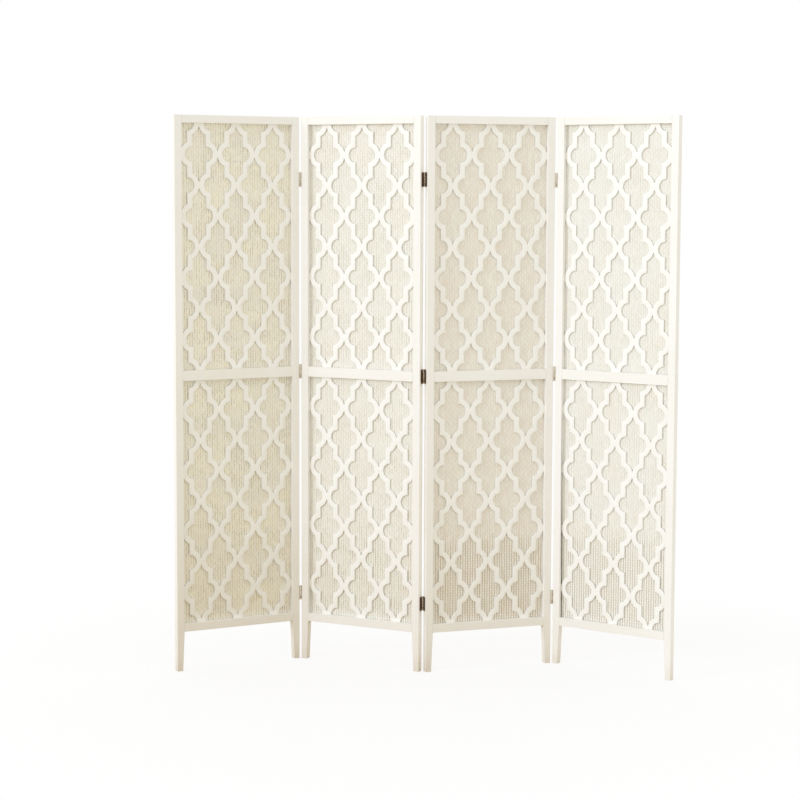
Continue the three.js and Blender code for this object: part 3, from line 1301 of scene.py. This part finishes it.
    def build_pin(self, fold: Fold, place: str, panel: Panel) -> None:
        """Builds a pin with a domed head at each end.

        Args:
            fold: The joint.
            place: Which of the joint's hinges.
            panel: The panel that carries it.
        """
        bend = np.linspace(0, math.pi / 2, 6)
        top = self.height + self.clear
        upper = [(self.head * math.cos(t), top + self.dome * math.sin(t)) for t in bend]
        upper.insert(0, (self.pin, top))
        profile = [(r, self.height - h) for r, h in reversed(upper)] + upper
        work = bmesh.new()
        add_turning(work, profile)
        made = finish_mesh(work, f"pin_{fold.number}_{place}", [self.steel.material(True)])
        axis = fold.axis_at(Side.LEFT, panel.sizes) + Vector((0, 0, self.feet[place]))
        node = f"hinge_{fold.number}_{place}_pin"
        seat(made, panel.matrix @ Matrix.Translation(axis), panel.body, node, slot="hinge_bronze")

    def build(self, fold: Fold, before: Panel, after: Panel) -> None:
        """Builds the three hinges of a joint.

        Args:
            fold: The joint.
            before: The panel on its left.
            after: The panel on its right.
        """
        for place in self.feet:
            self.build_leaf(fold, place, Side.LEFT, before)
            self.build_leaf(fold, place, Side.RIGHT, after)
            self.build_pin(fold, place, before)


@dataclass
class Studio:
    """The camera, the floor and the light."""

    eye: Vector = field(default_factory=lambda: Vector((-0.07554, -6.78635, 1.55491)))
    pitch: float = -5.6329
    roll: float = 0.2035
    lens: float = 94.5545
    floor_size: float = 60.0
    floor_seen: str = "#FFFFFF"
    floor_near: str = "#B49C62"
    floor_far: str = "#ECE9E0"
    # From floor_middle out, where the floor's light fades from the near colour to the far one.
    floor_middle: tuple[float, float, float] = (-0.5, 0.0, 0.0)
    floor_fade: tuple[float, float] = (0.5, 1.7)
    # From the object out, where the floor turns from a little shaded to all white.
    white_from: tuple[float, float] = (0.9, 2.0)
    white_near: float = 0.7
    sky: str = "#FFFEFA"
    sky_strength: float = 0.94
    key_colour: str = "#DCE8FF"
    key_strength: float = 1.0
    key_spread: float = 18.0
    key_azimuth: float = 60.0
    key_height: float = 14.0

    def set_camera(self) -> None:
        """Puts the camera where the photograph was taken from."""
        data = bpy.data.cameras.new("camera")
        data.sensor_width = 36
        data.lens = self.lens
        data.clip_end = 200
        camera = add_object("camera", data)
        turn = Matrix.Rotation(math.radians(90 + self.pitch), 4, "X")
        lean = Matrix.Rotation(math.radians(self.roll), 4, "Z")
        camera.matrix_world = Matrix.Translation(self.eye) @ turn @ lean
        bpy.context.scene.camera = camera

    def seen(self, tree: NodeTree) -> NodeSocket:
        """Tells rays that show a surface to the eye from those that carry its light.

        Args:
            tree: The node tree.

        Returns:
            1 for camera, glossy and transmission rays, and 0 for others.
        """
        path = add_node(tree, "LightPath").outputs
        found = path["Is Camera Ray"]
        for kind in ("Is Glossy Ray", "Is Transmission Ray"):
            found = add_node(tree, "Math", (found, path[kind]), operation="MAXIMUM").outputs[0]
        return found

    def set_sky(self) -> None:
        """Lights the scene evenly, with a white ground behind it."""
        world = bpy.data.worlds.new("studio")
        bpy.context.scene.world = world
        world.use_nodes = True
        tree = world.node_tree
        tree.nodes.clear()
        light = {"Color": linear(self.sky), "Strength": self.sky_strength}
        lighting = add_node(tree, "Background", light)
        white = add_node(tree, "Background", {"Color": (1, 1, 1, 1), "Strength": 1.0})
        shaders = (self.seen(tree), lighting.outputs[0], white.outputs[0])
        mixed = add_node(tree, "MixShader", shaders)
        add_node(tree, "OutputWorld", {"Surface": mixed.outputs[0]})

    def lay_floor(self) -> None:
        """Lays a pale floor that shows white round the object, and keeps its soft shadow."""
        work = bmesh.new()
        bmesh.ops.create_grid(work, x_segments=8, y_segments=8, size=self.floor_size / 2)
        finish_mesh(work, "floor", [self.floor_material()])

    def floor_material(self) -> Material:
        """Builds the floor's finish: matt paint that fades to white away from the object.

        Returns:
            The material.
        """
        made, tree = start_material("matt_painted_floor")
        place = add_node(tree, "TexCoord").outputs["Object"]
        away = add_node(tree, "VectorMath", (place,), operation="LENGTH").outputs["Value"]
        ends = (place, self.floor_middle)
        beside = add_node(tree, "VectorMath", ends, operation="DISTANCE").outputs["Value"]
        seen = self.seen(tree)
        tints = (Tint(beside, self.floor_far, self.floor_fade), Tint(seen, self.floor_seen))
        coat = {
            "Base Color": lay_tints(tree, self.floor_near, tints),
            "Roughness": 0.9,
            "Specular IOR Level": 0.2,
        }
        matt = add_node(tree, "BsdfPrincipled", coat)
        reach = (away, *self.white_from, self.white_near, 1.0)
        near = add_node(tree, "MapRange", reach, interpolation_type="SMOOTHSTEP").outputs[0]
        share = add_node(tree, "Math", (seen, near), operation="MULTIPLY").outputs[0]
        white = add_node(tree, "Emission", {"Color": (1, 1, 1, 1), "Strength": 1.0})
        mixed = add_node(tree, "MixShader", (share, matt.outputs[0], white.outputs[0]))
        add_node(tree, "OutputMaterial", {"Surface": mixed.outputs[0]})
        return made

    def hang_key(self) -> None:
        """Hangs a broad, even lamp at the left, which skims the panels that face right."""
        data = bpy.data.lights.new("key", "SUN")
        data.energy = self.key_strength
        data.angle = math.radians(self.key_spread)
        data.color = linear(self.key_colour)[:3]
        lamp = add_object("key", data)
        swing = Matrix.Rotation(math.radians(-self.key_azimuth), 4, "Z")
        tip = Matrix.Rotation(math.radians(90 - self.key_height), 4, "X")
        lamp.matrix_world = swing @ tip

    def build(self) -> None:
        """Sets up everything that isn't part of the object."""
        bpy.context.scene.view_settings.view_transform = "Standard"
        self.set_camera()
        self.set_sky()
        self.lay_floor()
        self.hang_key()


def main() -> None:
    """Builds the studio, then each panel and the hinges between them."""
    logging.basicConfig(level=logging.INFO, format="%(name)s: %(message)s", stream=sys.stdout)
    Studio().build()
    sizes = PanelSizes()
    folds = [Fold(1, True), Fold(2, False), Fold(3, True)]
    panels = stand_panels(HEADINGS, folds, sizes)
    boards, lattice, sheet, staples = Frame(), LatticeBoard(), WovenSheet(), Staples()
    for panel in panels:
        boards.dress(panel)
        for storey in Storey:
            lattice.build(panel, storey)
        sheet.build(panel)
        staples.build(panel, sheet)
    hinge = ButtHinge()
    for fold, before, after in zip(folds, panels, panels[1:]):
        hinge.build(fold, before, after)


if __name__ == "__main__":
    main()
